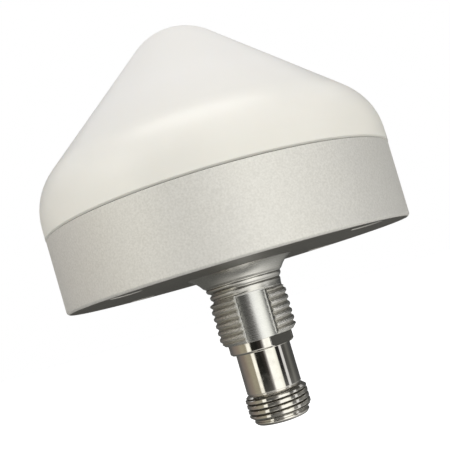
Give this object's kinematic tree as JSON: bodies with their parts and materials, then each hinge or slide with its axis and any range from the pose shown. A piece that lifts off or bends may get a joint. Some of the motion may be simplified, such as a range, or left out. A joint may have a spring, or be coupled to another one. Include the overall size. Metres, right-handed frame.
{
  "type": "gnss receiver antenna",
  "caption": "Satellite-navigation antenna head: conical plastic radome on a turned metal base with a hollow threaded stud and a coaxial screw jack.",
  "frame": {"origin": "centre of the flat underside of the base, where the antenna seats on its panel or pole cap, on the stud's axis", "axes": "+Z along the antenna's own axis towards the sky; the smooth land down the stud faces -Y; the radome screws are on the diagonals between X and Y"},
  "size_m": [0.0628, 0.0628, 0.0728],
  "materials": {
    "blasted_aluminium": "fine bead-blasted skirt, machined underside and stud",
    "radome_plastic": "satin warm white moulding",
    "seal_rubber": "matt black",
    "stainless_steel": "bright turned stainless",
    "insert_brass": "bright turned brass",
    "nickel_plate": "polished nickel plate",
    "ptfe": "white PTFE",
    "gold_plate": "gold-plated copper alloy",
    "silvered_wire": "silver-plated copper wire",
    "tinned_copper": "bright tinned copper",
    "solder": "bright solder",
    "circuit_board": "green solder mask over glass laminate",
    "adhesive_film": "thin bonding film",
    "adhesive_foam": "white foam tape",
    "patch_ceramic": "sintered microwave ceramic",
    "fired_silver": "fired silver metallisation",
    "tinned_steel": "tin-plated steel sheet",
    "filter_lid": "gold-flashed metal lid",
    "chip_resin": "black moulding compound",
    "inductor_ferrite": "dark ferrite ceramic",
    "coupler_laminate": "white multilayer ceramic",
    "capacitor_ceramic": "tan multilayer ceramic",
    "arrestor_ceramic": "white ceramic body"
  },
  "bodies": {
    "root": {"base_housing": "blasted_aluminium", "radome": "radome_plastic", "radome_seal": "seal_rubber", "connector_seal": "seal_rubber", "radome_screws": "stainless_steel", "board_screws": "stainless_steel", "board_washers": "stainless_steel", "radome_inserts": "insert_brass", "connector_body": "nickel_plate", "connector_insulator": "ptfe", "cable_dielectric": "ptfe", "connector_contact": "gold_plate", "lower_feed_pins": "gold_plate", "upper_feed_pins": "gold_plate", "cable_wire": "silvered_wire", "cable_shield": "tinned_copper", "cable_solder": "solder", "pin_solder": "solder", "antenna_board": "circuit_board", "lower_adhesive": "adhesive_film", "upper_adhesive": "adhesive_foam", "lower_patch": "patch_ceramic", "upper_patch": "patch_ceramic", "lower_electrode": "fired_silver", "upper_electrode": "fired_silver", "shield_frame": "tinned_steel", "shield_lid": "tinned_steel", "saw_filters": "filter_lid", "amplifier_chips": "chip_resin", "voltage_regulator": "chip_resin", "chip_inductors": "inductor_ferrite", "hybrid_couplers": "coupler_laminate", "chip_capacitors": "capacitor_ceramic", "surge_arrestor": "arrestor_ceramic"}
  },
  "joints": []
}
